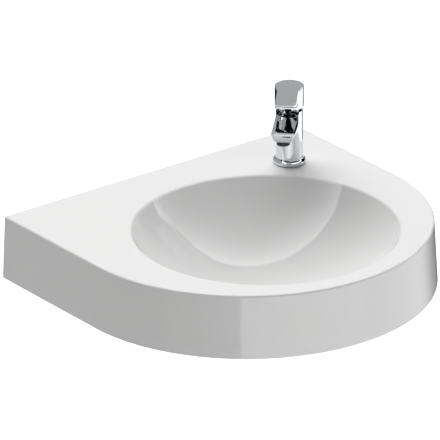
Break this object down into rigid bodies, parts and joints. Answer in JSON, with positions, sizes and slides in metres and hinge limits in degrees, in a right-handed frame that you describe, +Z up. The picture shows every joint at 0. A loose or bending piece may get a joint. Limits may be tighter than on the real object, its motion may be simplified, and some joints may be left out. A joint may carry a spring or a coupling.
{
  "type": "wall-hung washbasin with mixer",
  "caption": "D-shaped wall-hung washbasin with a round bowl, a single-lever mixer on its rear corner deck and a push-open waste.",
  "frame": {"origin": "middle of the two wall-bolt holes, on the plane of the wall", "axes": "+Z up, +Y into the wall, -Y towards the user, +X to the right as the user faces the basin"},
  "size_m": [0.5748, 0.5199, 0.3173],
  "materials": {
    "glazed_china": "gloss white glaze",
    "chrome_plate": "polished chromium plate on brass",
    "bare_brass": "turned brass",
    "black_rubber": "moulded EPDM",
    "zinc_steel": "zinc-plated or stainless steel",
    "white_acetal": "moulded acetal",
    "alumina": "lapped alumina",
    "index_plastic": "grey moulded cover plug"
  },
  "bodies": {
    "root": {"basin": "glazed_china", "mixer_body": "chrome_plate", "base_flange": "chrome_plate", "base_seal": "black_rubber", "aerator_sleeve": "chrome_plate", "aerator_insert": "white_acetal", "aerator_washer": "black_rubber", "cartridge_seal": "black_rubber", "cartridge_housing": "white_acetal", "fixed_disc": "alumina", "cartridge_nut": "bare_brass", "neck_cover": "chrome_plate", "fixing_stud": "zinc_steel", "rubber_horseshoe": "black_rubber", "steel_horseshoe": "zinc_steel", "fixing_nut": "bare_brass", "waste_body": "chrome_plate", "waste_seal": "black_rubber", "waste_cone_washer": "black_rubber", "waste_nut": "bare_brass", "latch_barrel": "white_acetal"},
    "swivel": {"cartridge_rotor": "white_acetal", "lever_pin": "zinc_steel"},
    "lever": {"lever_handle": "chrome_plate", "lever_stem": "zinc_steel", "handle_screw": "zinc_steel", "index_plug": "index_plastic"},
    "disc": {"moving_disc": "alumina", "disc_driver": "white_acetal"},
    "plug": {"waste_plug": "chrome_plate", "plug_seal": "black_rubber", "latch_stem": "white_acetal"}
  },
  "joints": [
    {"name": "lever_swivel", "type": "hinge", "parent": "root", "child": "swivel", "pos_m": [0.1842, -0.1004, 0.132], "axis": [0, 0, 1], "range_deg": [-50, 50]},
    {"name": "lever_lift", "type": "hinge", "parent": "swivel", "child": "lever", "pos_m": [0.1842, -0.1004, 0.132], "axis": [-0.6965, 0.7175, 0], "range_deg": [0, 22]},
    {"name": "disc_slide", "type": "slide", "parent": "swivel", "child": "disc", "axis": [-0.7175, -0.6965, 0], "range_m": [0, 0.00308]},
    {"name": "plug_lift", "type": "slide", "parent": "root", "child": "plug", "axis": [0, 0, 1], "range_m": [0, 0.007]}
  ],
  "couplings": [
    {"joint": "disc_slide", "follows": "lever_lift", "m_per_rad": 0.008}
  ]
}
